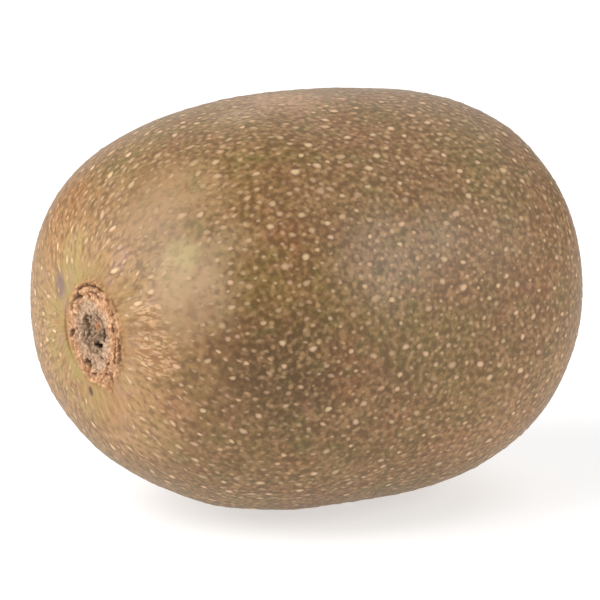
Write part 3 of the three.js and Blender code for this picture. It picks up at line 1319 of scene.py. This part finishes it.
    def relief(self, piece: bpy.types.Object, nominal: Array, across: Array, up: Array) -> Array:
        """Works out the cork's relief, and stores the masks that its finish reads.

        Args:
            piece: The scar's mesh.
            nominal: Each vertex's nominal radius.
            across: Each vertex's place across the scar.
            up: Each vertex's place up the scar.

        Returns:
            The height of each vertex over the hollow.
        """
        rough, fine, edge = (waver(across, up, per_mm, shift) for per_mm, shift in self.wavers)
        turn = np.arctan2(up - self.middle[1], across - self.middle[0])
        gap = self.lump_gaps(turn, nominal, across, up)
        lump = ease(gap, 0.0, 0.4)

        radius = nominal + 0.5 * edge + 0.2 * fine
        rim = ease(radius, self.rim_inside - 0.4, self.rim_inside + 0.3)
        rim *= ease(radius, self.rim_outside + 0.35, self.rim_outside - 0.35)
        inside = ease(radius, self.rim_inside + 0.3, self.rim_inside - 0.5)
        pink_from = self.rim_inside - self.broadening * ease(np.cos(turn - self.broad_side), -0.4, 0.8)
        pink = np.maximum(rim, ease(radius, pink_from - 0.3, pink_from + 0.3))
        inner = np.hypot(across + 0.25, (up - 0.2) * 0.9) + 0.5 * edge + 0.3 * fine
        core = ease(inner, self.core + 0.3, self.core - 0.4)
        knob = self.spot_share(self.knob, across, up, fine)
        fibres = np.sin(across * self.fibres + 4 * rough) * 0.5 + 0.5
        depth, pits, cracks = self.dig(across, up, rough, fine, edge)

        coarsely, finely = self.rim_roughness
        lumps = self.lump_height * (lump - self.lump_middle)
        height = rim * (self.rim_height + lumps + coarsely * rough + finely * fine)
        coarsely, finely = self.fill_roughness
        lumps = self.fill_lumps * (lump - 0.5)
        height += inside * (coarsely * rough + finely * fine + lumps - self.fill_depth)
        height += core * (self.fibre_height * fibres - self.core_depth + self.core_roughness * fine)
        height += knob * self.knob.depth - depth - dip(nominal, self.reach)

        cover = ease(radius, self.rim_outside + 0.5, self.rim_outside - 0.7)
        # Painted shade: darker in the gaps between the rim's lumps of cork.
        shade = (1 - ease(gap, 0.02, 0.16)) * np.maximum(rim, 0.7 * inside) * ease(rough, -0.3, 0.25)
        masks = {
            "rim": np.maximum(pink, knob),
            "core": core * (0.55 + 0.45 * ease(fine, 0.3, -0.3)),
            "fleck": self.spot_share(self.fleck, across, up, fine) * 0.8,
            # gap: painted shade between the lumps, and the cracks' own dark brown.
            "gap": np.maximum(shade * 0.75, cracks * 0.95),
            # pit: painted shade in the holes.
            "pit": pits,
            "cover": np.maximum.reduce([cover, knob * 0.8, cracks * 0.6]),
        }
        for name, mask in masks.items():
            Bench.mark(piece, name, mask)
        return height

    @staticmethod
    def spot_share(spot: Pit, across: Array, up: Array, fine: Array) -> Array:
        """How far each place is in a small ragged oval, from 1 in its middle to 0 outside."""
        off = np.hypot((across - spot.across) / spot.half_across, (up - spot.up) / spot.half_up)
        return ease(off + 0.3 * fine, 1.22, 0.92)


@dataclass
class BlossomButton:
    """The low brown button at the blossom end. Radii are in millimetres."""

    finish: DriedFinish
    reach: float = 5.2
    spacing: float = 0.14
    rim: float = 2.7
    rim_width: float = 0.95
    height: float = 0.5
    middle_width: float = 1.1
    middle_height: float = 0.8
    dimple_depth: float = 0.35
    dimple_width: float = 4.6
    cover: Span = (4.6, 3.4)
    crown: Span = (2.8, 3.7)

    @classmethod
    def dimple(cls, points: Array) -> Array:
        """Height of the dimple that the button sits in, over the smooth skin."""
        return -cls.dimple_depth * bump(BLOSSOM_SPOT.distance(points), cls.dimple_width)

    def build(self) -> bpy.types.Object:
        """Models the button as a fine disc.

        Returns:
            The finished piece.
        """
        piece = Bench.disc("blossom_button", self.reach, self.spacing)
        across, up = Bench.read(piece)[:, :2].T
        points = FORM.at_end(End.BLOSSOM, BLOSSOM_SPOT.y + across, BLOSSOM_SPOT.z + up)
        fine = waver(across, up, 1.7, (0, 0, 2))
        broad = waver(across, up, 0.6, (0, 0, 5))
        radius = np.hypot(across, up) + 0.5 * broad
        ring = bump(radius - self.rim, self.rim_width)
        height = (ring + self.middle_height * bump(radius, self.middle_width)) * (self.height + 0.4 * fine)
        height += 0.05 * fine - dip(np.hypot(across, up), self.reach)
        base = self.dimple(points) + FORM.swell(points)
        Bench.write(piece, FORM.place(points, base + height))
        Bench.mark(piece, "cover", ease(radius + 0.6 * fine, *self.cover))
        Bench.mark(piece, "crown", 0.32 + 0.5 * ease(radius + 0.5 * fine, *self.crown))
        Bench.finish(piece, self.finish.material(), Slot.STYLE)
        return piece


@dataclass
class Styles:
    """The dried styles: thin, curled and tapered, spreading out all round the button."""

    finish: DriedFinish
    count: int = 36
    length: float = 2.6
    root: float = 0.7
    lift: float = 0.5
    radius: float = 0.19
    sides: int = 7
    segments: int = 12
    rings: tuple[float, ...] = (1.3, 2.1, 2.9)
    seed: int = 5
    astray: Span = (-0.35, 0.35)
    lengths: Span = (0.6, 1.0)
    leans: Span = (0.25, 0.6)
    least_lean: float = 0.1
    curls: Span = (0.4, 1.3)
    sways: Span = (-0.5, 0.5)
    foot_thickness: float = 1.35
    taper: float = 0.9
    tip_thickness: float = 0.35
    tip_reach: float = 0.12
    knots: float = 17.0
    knot_thickness: float = 0.18
    tip_crown: float = 0.55

    def template(self) -> bpy.types.Object:
        """Models one straight style, one unit long, by extruding a disc.

        Returns:
            The style.
        """
        piece = Bench.open_face("style_template", self.sides)
        for _ in range(self.segments):
            step = {"value": (0, 0, 1 / self.segments)}
            bpy.ops.mesh.extrude_region_move(TRANSFORM_OT_translate=step)
        bpy.ops.mesh.select_all(action="SELECT")
        bpy.ops.mesh.normals_make_consistent(inside=False)
        bpy.ops.object.mode_set(mode="OBJECT")
        return piece

    def foot(self, out: Array, ring: float) -> Array:
        """The root of a style, under the button.

        Args:
            out: The way from the button's middle to the style.
            ring: The radius of its ring.

        Returns:
            The point.
        """
        y = np.array([BLOSSOM_SPOT.y + ring * out[1]])
        z = np.array([BLOSSOM_SPOT.z + ring * out[2]])
        point = FORM.at_end(End.BLOSSOM, y, z)
        return point + FORM.normals(point) * (self.lift - self.root)

    def bent(self, shape: Array, index: int, draw: np.random.Generator) -> Array:
        """One style, which leans out of the button and bends as an arc towards its tip.

        Args:
            shape: The straight style's vertices.
            index: The style's number.
            draw: The source of its own lengths and angles.

        Returns:
            Its vertices, in millimetres about the core.
        """
        share = shape[:, 2]
        ring = self.rings[index % len(self.rings)]
        angle = 2 * math.pi * (index + draw.uniform(*self.astray)) / self.count * len(self.rings)
        out = np.array([0, math.cos(angle), math.sin(angle)])
        side = np.cross(CORE_AXIS, out)
        length = self.length * draw.uniform(*self.lengths) + self.root
        lean = draw.uniform(*self.leans) * (ring / self.rings[-1]) + self.least_lean
        curl = draw.uniform(*self.curls)
        sway = draw.uniform(*self.sways)
        bend = lean + curl * share
        chord = share * length * np.sinc((curl * share) / (2 * math.pi))
        rise = chord * np.cos(lean + curl * share / 2)
        spread = chord * np.sin(lean + curl * share / 2)
        knobbed = self.tip_thickness * bump(share - 1, self.tip_reach)
        thick = self.radius * (self.foot_thickness - self.taper * share + knobbed)
        thick = thick * (1 + self.knot_thickness * np.sin(share * self.knots + index))
        normal = -np.sin(bend)[:, None] * CORE_AXIS + np.cos(bend)[:, None] * out
        aside = sway * share**2 * length
        line = rise[:, None] * CORE_AXIS + spread[:, None] * out + aside[:, None] * side
        skin = normal * (shape[:, 0] * thick)[:, None] + side * (shape[:, 1] * thick)[:, None]
        return self.foot(out, ring) + line + skin

    def build(self) -> bpy.types.Object:
        """Bends the copies out of the button, each its own way.

        Returns:
            The finished piece.
        """
        template = self.template()
        shape = Bench.read(template)
        draw = np.random.default_rng(self.seed)
        points = np.stack([self.bent(shape, i, draw) for i in range(self.count)])
        piece = Bench.copies("styles", template, FORM.settle(points))
        Bench.mark(piece, "cover", np.ones(len(piece.data.vertices)))
        Bench.mark(piece, "crown", np.tile(self.tip_crown * shape[:, 2] ** 2, self.count))
        Bench.finish(piece, self.finish.material(), Slot.STYLE)
        return piece


@dataclass
class Skin:
    """The skin: a fine shell over the fruit's form, finer still round the stem scar."""

    finish: SkinFinish
    fineness: int = 7
    fine_reach: float = 13.0
    finer_reach: float = 9.5
    under_scar: float = 5.2
    under_depth: float = 1.6
    under_button: float = 3.6
    button_depth: float = 0.8
    nick_depth: float = 0.12

    def relief(self, points: Array) -> Array:
        """Height of the skin over the smooth form.

        Args:
            points: Points of the smooth skin.

        Returns:
            The heights.
        """
        from_stem, from_blossom = STEM_SPOT.distance(points), BLOSSOM_SPOT.distance(points)
        height = FORM.swell(points) + StemScar.hollow(points) + StemScar.creases(points)
        height += BlossomButton.dimple(points) - self.nick_depth * NICK.share(points)
        height -= self.under_depth * ease(from_stem, self.under_scar + 1.0, self.under_scar)
        height -= self.button_depth * ease(from_blossom, self.under_button + 0.8, self.under_button)
        return height

    def build(self) -> bpy.types.Object:
        """Models the skin from an even ball, refined round the scar.

        Returns:
            The finished piece.
        """
        Bench.clear()
        bpy.ops.mesh.primitive_ico_sphere_add(subdivisions=self.fineness, radius=1)
        piece = Bench.take("skin")
        Bench.write(piece, FORM.onto(Bench.read(piece)))
        for reach in (self.fine_reach, self.finer_reach):
            cut = bpy.ops.mesh.subdivide
            Bench.on_faces(piece, lambda m, r=reach: STEM_SPOT.distance(m) < r, cut, number_cuts=1)
        points = FORM.onto(Bench.read(piece))
        Bench.write(piece, FORM.place(points, self.relief(points)))
        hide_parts(NODE)
        Bench.finish(piece, self.finish.skin(), Slot.SKIN)
        return piece


@dataclass(frozen=True)
class Scatter:
    """How one kind of lenticel is spread over the skin. Lengths are in millimetres."""

    count: int
    room: float
    radius: Span
    height: Span
    strength: Span
    stretch: float
    seed: int
    stem_band: Span = (0.0, 0.0)


@dataclass
class Lenticels:
    """The raised corky spots of the skin, long beside the stem scar and round elsewhere."""

    finish: SkinFinish
    skin: Skin
    candidates: int = 60000
    large: Scatter = Scatter(1350, 1.6, (0.4, 0.55), (0.03, 0.06), (0.4, 0.95), 0.9, 21)
    streaks: Scatter = Scatter(760, 0.8, (0.3, 0.4), (0.025, 0.05), (0.15, 0.55), 2.1, 23, (9.0, 20.0))
    small: Scatter = Scatter(4500, 0.94, (0.32, 0.45), (0.008, 0.018), (0.12, 0.6), 0.9, 22)

    stem_bareness: float = 0.45
    bare_towards: Span = (12.0, -22.0)
    stray_streaks: float = 0.1
    rubbed_sheen_bareness: float = 0.55
    rubbed_sheen_flatness: float = 0.7
    rubbed_sheen_faintness: float = 0.55
    scar_room: float = 7.0
    button_room: float = 5.0
    cell_size: float = 1.4
    top_growth: float = 0.28
    top_band: Span = (11.0, 20.0)
    stem_side: float = 15.0
    waves: tuple[tuple[int, float], ...] = ((2, 0.12), (3, 0.12), (5, 0.06))
    foot_depth: float = 0.012
    width_spread: float = 0.12
    longer: Span = (0.0, 0.5)
    stem_longer: Span = (0.3, 1.0)
    stem_narrower: float = 0.25
    turns: Span = (-0.5, 0.5)
    strength_power: float = 1.2

    @staticmethod
    def template(corners: int, rings: tuple[Span, ...]) -> bpy.types.Object:
        """Models one lenticel by extruding and shrinking a face, and leaves its underside open.

        Args:
            corners: Corners of each ring.
            rings: Radius and height of the rings inside the foot, as shares.

        Returns:
            The lenticel, with its foot at radius 1 and height 0.
        """
        piece = Bench.open_face("lenticel_template", corners)
        last, height = 1.0, 0.0
        for radius, level in rings:
            step = {"value": (0, 0, level - height)}
            bpy.ops.mesh.extrude_region_move(TRANSFORM_OT_translate=step)
            bpy.ops.transform.resize(value=(radius / last, radius / last, 1))
            last, height = radius, level
        bpy.ops.mesh.poke(offset=0.0)
        bpy.ops.object.mode_set(mode="OBJECT")
        Bench.on_faces(piece, lambda middles: middles[:, 2] < 0.01, bpy.ops.mesh.delete, type="ONLY_FACE")
        return piece

    @staticmethod
    def outside_rubbed_sheen(points: Array, loss: float) -> Array:
        """What is left at each point when the rubbed places and the places of painted sheen lose up to a
        share of it.

        Args:
            points: Points of the smooth skin.
            loss: The share that is lost in the middle of such a place.

        Returns:
            What is left, 0 to 1.
        """
        left = np.ones(len(points))
        for rubbed_sheen_place in RUBBED_AND_SHEEN:
            left = left * (1 - loss * rubbed_sheen_place.share(points))
        return left

    def density(self, scatter: Scatter, points: Array) -> Array:
        """How close one kind of lenticel lies at each point, as a share of the closest.

        Args:
            scatter: The kind of lenticel.
            points: Points of the smooth skin.

        Returns:
            The density at each point.
        """
        density = 1 - self.stem_bareness * ease(points[:, 0], *self.bare_towards)
        if scatter.stem_band[1]:
            first, last = scatter.stem_band
            away = STEM_SPOT.distance(points)
            streaked = np.max([place.share(points) for place in STREAKED], axis=0)
            density = ease(away, first - 3, first) * ease(away, last + 4, last - 5)
            density = density * np.maximum(streaked, self.stray_streaks)
        return density * self.outside_rubbed_sheen(points, self.rubbed_sheen_bareness)

    def places(self, scatter: Scatter, taken: Array) -> Array:
        """Places spread at random over the skin, none nearer another than the room.

        Args:
            scatter: The kind of lenticel.
            taken: Places that are already filled.

        Returns:
            Points of the smooth skin.
        """
        draw = np.random.default_rng(scatter.seed)
        ways = unit(draw.normal(size=(self.candidates, 3)))
        points = FORM.onto(ways)
        slant = np.einsum("ij,ij->i", ways, FORM.normals(points))
        area = np.linalg.norm(points, axis=1) ** 2 / slant
        chance = area * self.density(scatter, points)
        points = points[draw.uniform(size=len(points)) < chance / chance.max()]
        clear = BLOSSOM_SPOT.distance(points) > self.button_room
        clear &= STEM_SPOT.distance(points) > self.scar_room
        clear &= StemScar.nominal(points) > StemScar.reach
        return self.spaced(points[clear], taken, scatter)

    def spaced(self, points: Array, taken: Array, scatter: Scatter) -> Array:
        """The first points that keep their room from one another and from the taken places.

        Args:
            points: The points to choose from.
            taken: Places that are already filled.
            scatter: The kind of lenticel, with its count and room.

        Returns:
            The chosen points.
        """
        chosen: list[Array] = []
        grid: dict[tuple[int, ...], list[Array]] = {}
        around = [(i, j, k) for i in (-1, 0, 1) for j in (-1, 0, 1) for k in (-1, 0, 1)]
        room = scatter.room

        def cell(point: Array) -> tuple[int, ...]:
            """The cell of the grid that a point is in."""
            return tuple(int(v) for v in np.floor(point / self.cell_size))

        for point in taken:
            grid.setdefault(cell(point), []).append(point)
        for point in points:
            home = cell(point)
            cells = ((home[0] + i, home[1] + j, home[2] + k) for i, j, k in around)
            steps = (other - point for near in cells for other in grid.get(near, ()))
            if any(abs(step[0]) < room and np.dot(step, step) < room**2 for step in steps):
                continue
            grid.setdefault(home, []).append(point)
            chosen.append(point)
            if len(chosen) == scatter.count:
                break
        return np.array(chosen)

    def sizes(self, scatter: Scatter, places: Array, draw: np.random.Generator) -> tuple[Array, Array]:
        """The half length and half width of each lenticel: larger above and below, long at the stem.

        Args:
            scatter: The kind of lenticel.
            places: Where they go.
            draw: The source of their own sizes.

        Returns:
            The half lengths and the half widths.
        """
        count = len(places)
        width = draw.uniform(*scatter.radius, count) * np.exp(draw.normal(0, self.width_spread, count))
        width = width * (1 + self.top_growth * ease(np.abs(places[:, 2]), *self.top_band))
        near = bump(STEM_SPOT.distance(places), self.stem_side)
        longer = draw.uniform(*self.longer, count)
        longer += scatter.stretch * near * draw.uniform(*self.stem_longer, count)
        return width * (1 + longer), width * (1 - self.stem_narrower * near)

    def wobble(self, angle: Array, count: int, draw: np.random.Generator) -> Array:
        """How far each lenticel's outline stands out at each angle, as a share.

        Args:
            angle: The angles of the template's vertices.
            count: How many lenticels there are.
            draw: The source of their own outlines.

        Returns:
            The shares, as lenticels by vertices.
        """
        wobble = 1.0 + np.zeros((count, 1))
        for waves, most in self.waves:
            start = draw.uniform(0, 2 * math.pi, (count, 1))
            wobble = wobble + draw.uniform(0, most, (count, 1)) * np.cos(waves * angle + start)
        return wobble

    def spread(
        self, name: str, template: bpy.types.Object, scatter: Scatter, places: Array
    ) -> bpy.types.Object:
        """Sets a copy of the template at each place, each with its own outline.

        Args:
            name: The new piece's name.
            template: The modelled lenticel.
            scatter: The kind of lenticel.
            places: Where they go.

        Returns:
            The piece.
        """
        draw = np.random.default_rng(scatter.seed + 100)
        shape = Bench.read(template)
        count, size = len(places), len(shape)
        normal = FORM.normals(places)
        along = unit(CORE_AXIS - normal * normal[:, :1])
        turn = draw.uniform(*self.turns, count)[:, None]
        heading = along * np.cos(turn) + np.cross(normal, along) * np.sin(turn)
        beside = np.cross(normal, heading)
        length, width = self.sizes(scatter, places, draw)

        angle = np.arctan2(shape[:, 1], shape[:, 0])[None, :]
        radius = np.hypot(shape[:, 0], shape[:, 1])[None, :]
        reach = radius * self.wobble(angle, count, draw)
        u = reach * np.cos(angle) * length[:, None]
        v = reach * np.sin(angle) * width[:, None]
        points = places[:, None, :] + heading[:, None, :] * u[..., None] + beside[:, None, :] * v[..., None]
        points = FORM.onto(points.reshape(-1, 3))
        high = draw.uniform(*scatter.height, (count, 1))
        high = high * self.outside_rubbed_sheen(places, self.rubbed_sheen_flatness)[:, None]
        heights = (shape[None, :, 2] * high - self.foot_depth * (radius > 0.99)).ravel()
        placed = FORM.place(points, heights + self.skin.relief(points))

        piece = Bench.copies(name, template, placed.reshape(count, size, 3))
        strength = draw.uniform(*scatter.strength, (count, 1)) ** self.strength_power
        # Fainter in the rubbed places, and in the first three, which are painted highlight under the key
        # light's sheen.
        strength = strength * self.outside_rubbed_sheen(places, self.rubbed_sheen_faintness)[:, None]
        tint = draw.uniform(0, 1, (count, 1))
        for mask, values in (("ring", 1 - radius), ("strength", strength), ("tint", tint)):
            Bench.mark(piece, mask, np.broadcast_to(values, (count, size)).ravel())
        return piece

    def build(self) -> list[bpy.types.Object]:
        """Models each kind, the largest first, so that the next ones fill the gaps.

        Returns:
            The finished pieces.
        """
        kinds = (
            ("lenticels", self.large, 9, ((0.84, 0.15), (0.6, 0.75), (0.3, 1.0))),
            ("stem_streaks", self.streaks, 8, ((0.8, 0.3), (0.45, 0.9))),
            ("fine_lenticels", self.small, 6, ((0.6, 0.8),)),
        )
        filled = np.empty((0, 3))
        pieces = []
        for name, scatter, corners, rings in kinds:
            places = self.places(scatter, filled)
            filled = np.concatenate([filled, places])
            pieces.append(self.spread(name, self.template(corners, rings), scatter, places))
        material = self.finish.lenticel()
        for piece in pieces:
            Bench.finish(piece, material, Slot.CORK)
        return pieces


@dataclass(frozen=True)
class SoftLight:
    """A square soft light that faces the fruit. Angles are in degrees and sizes in metres."""

    name: str
    azimuth: float
    elevation: float
    distance: float
    size: float
    power: float


@dataclass
class Studio:
    """The floor, the soft lights and the camera.

    Angles are in degrees and distances in metres. The aim is off the fruit's middle by so many
    millimetres.
    """

    lights: tuple[SoftLight, ...] = (
        SoftLight("key", -106, 33, 0.55, 0.5, 3.8),
        SoftLight("key_front", -72, 42, 0.6, 0.35, 0.7),
        SoftLight("fill", 37, 22, 0.6, 0.3, 1.67),
        SoftLight("right", 75, 4, 0.7, 0.5, 0.6),
        SoftLight("high_right", 40, 60, 0.7, 0.4, 0.9),
        SoftLight("low_left", -120, 6, 0.6, 0.4, 0.7),
        SoftLight("back", 150, 25, 1.0, 1.0, 3.3),
        SoftLight("back_right", 100, 35, 0.8, 0.5, 0.8),
    )
    sky: float = 0.06
    azimuth: float = -36.0
    elevation: float = 12.6
    distance: float = 0.5
    lens: float = 244.3
    aim_right: float = -1.14
    aim_up: float = -1.44

    @staticmethod
    def way(azimuth: float, elevation: float) -> Vector:
        """The way from the fruit to something at an azimuth and elevation."""
        a, e = math.radians(azimuth), math.radians(elevation)
        return Vector((math.sin(a) * math.cos(e), -math.cos(a) * math.cos(e), math.sin(e)))

    def camera(self) -> None:
        """Sets the camera up, aimed a little beside the middle of the fruit."""
        back = self.way(self.azimuth, self.elevation)
        turn = math.radians(self.azimuth)
        right = Vector((math.cos(turn), math.sin(turn), 0))
        aim = right * self.aim_right + back.cross(right) * self.aim_up
        bpy.ops.object.camera_add()
        camera = bpy.context.active_object
        camera.data.lens = self.lens
        camera.data.clip_end = 20
        camera.location = FORM.middle + back * self.distance + aim * MM
        camera.rotation_euler = back.to_track_quat("Z", "Y").to_euler()
        bpy.context.scene.camera = camera

    def hang(self, soft: SoftLight) -> None:
        """Hangs one soft light.

        Args:
            soft: Its place, size and power.
        """
        way = self.way(soft.azimuth, soft.elevation)
        bpy.ops.object.light_add(type="AREA", location=FORM.middle + way * soft.distance)
        light = bpy.context.active_object
        light.name = soft.name
        light.data.shape = "SQUARE"
        light.data.size = soft.size
        light.data.energy = soft.power
        light.visible_camera = False
        light.rotation_euler = way.to_track_quat("Z", "Y").to_euler()

    def floor(self) -> None:
        """Lays a wide pale floor under the fruit."""
        Bench.clear()
        bpy.ops.mesh.primitive_plane_add(size=6, location=(0, 0, -0.05 * MM))
        floor = Bench.take("floor")
        bpy.ops.object.transform_apply(location=True, rotation=True, scale=True)
        floor.data.materials.append(FloorFinish().material())

    def build(self) -> None:
        """Sets up the whole studio."""
        self.camera()
        self.floor()
        for soft in self.lights:
            self.hang(soft)
        world = bpy.data.worlds.new("studio")
        world.use_nodes = True
        background = world.node_tree.nodes["Background"]
        background.inputs["Color"].default_value = (1, 1, 1, 1)
        background.inputs["Strength"].default_value = self.sky
        bpy.context.scene.world = world
        bpy.context.scene.view_settings.view_transform = "Standard"


def main() -> None:
    """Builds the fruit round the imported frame."""
    logging.basicConfig(level=logging.INFO, format="%(name)s: %(message)s")
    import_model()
    skin_finish = SkinFinish()
    dried = DriedFinish(skin_finish)
    Studio().build()
    skin = Skin(skin_finish)
    skin.build()
    StemScar(CorkFinish(skin_finish)).build()
    BlossomButton(dried).build()
    Styles(dried).build()
    Lenticels(skin_finish, skin).build()


if __name__ == "__main__":
    main()
